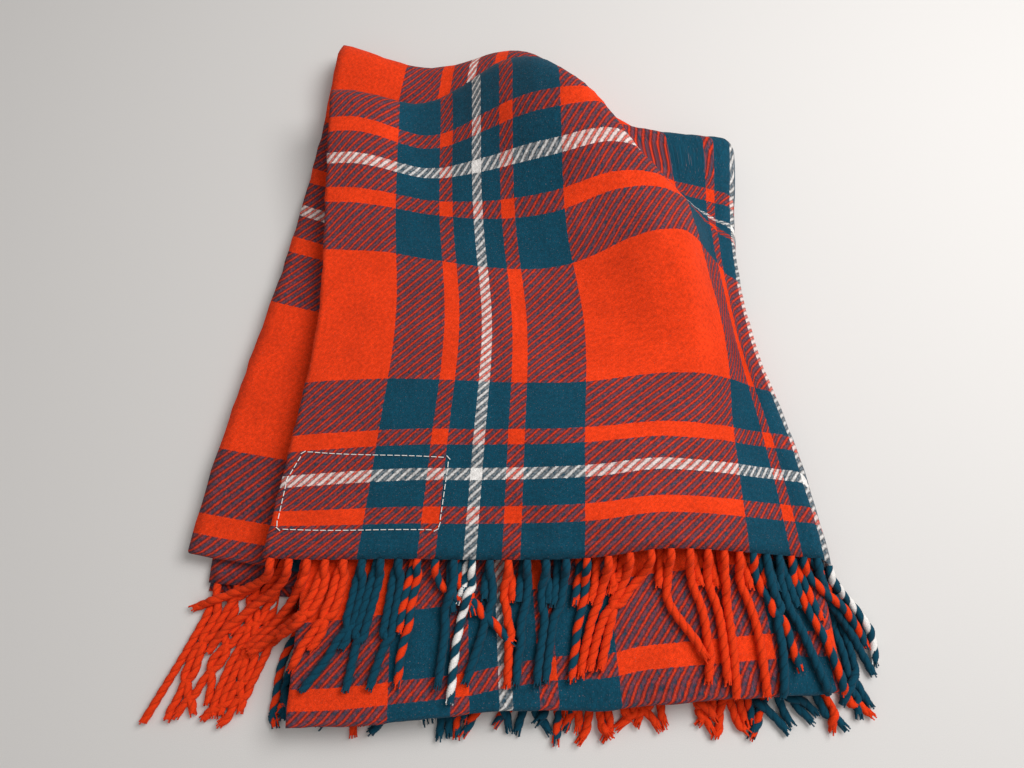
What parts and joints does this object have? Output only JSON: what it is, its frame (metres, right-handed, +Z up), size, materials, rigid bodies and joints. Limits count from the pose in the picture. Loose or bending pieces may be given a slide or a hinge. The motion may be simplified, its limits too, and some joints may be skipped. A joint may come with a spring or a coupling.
{
  "type": "folded wool travel blanket",
  "caption": "Woven tartan wool blanket with twisted fringe at both ends, folded into layers and laid loosely on a flat surface.",
  "frame": {"origin": "centre of the folded stack on the surface that it lies on", "axes": "+Z up, +Y from the fringed front to the folded back, +X towards the folded side"},
  "size_m": [0.5074, 0.6464, 0.0876],
  "materials": {
    "tartan_wool": "felted wool twill",
    "fringe_wool": "twisted wool strands"
  },
  "bodies": {
    "root": {"blanket": "tartan_wool", "fringe_first_end": "fringe_wool", "fringe_last_end": "fringe_wool"}
  },
  "joints": []
}
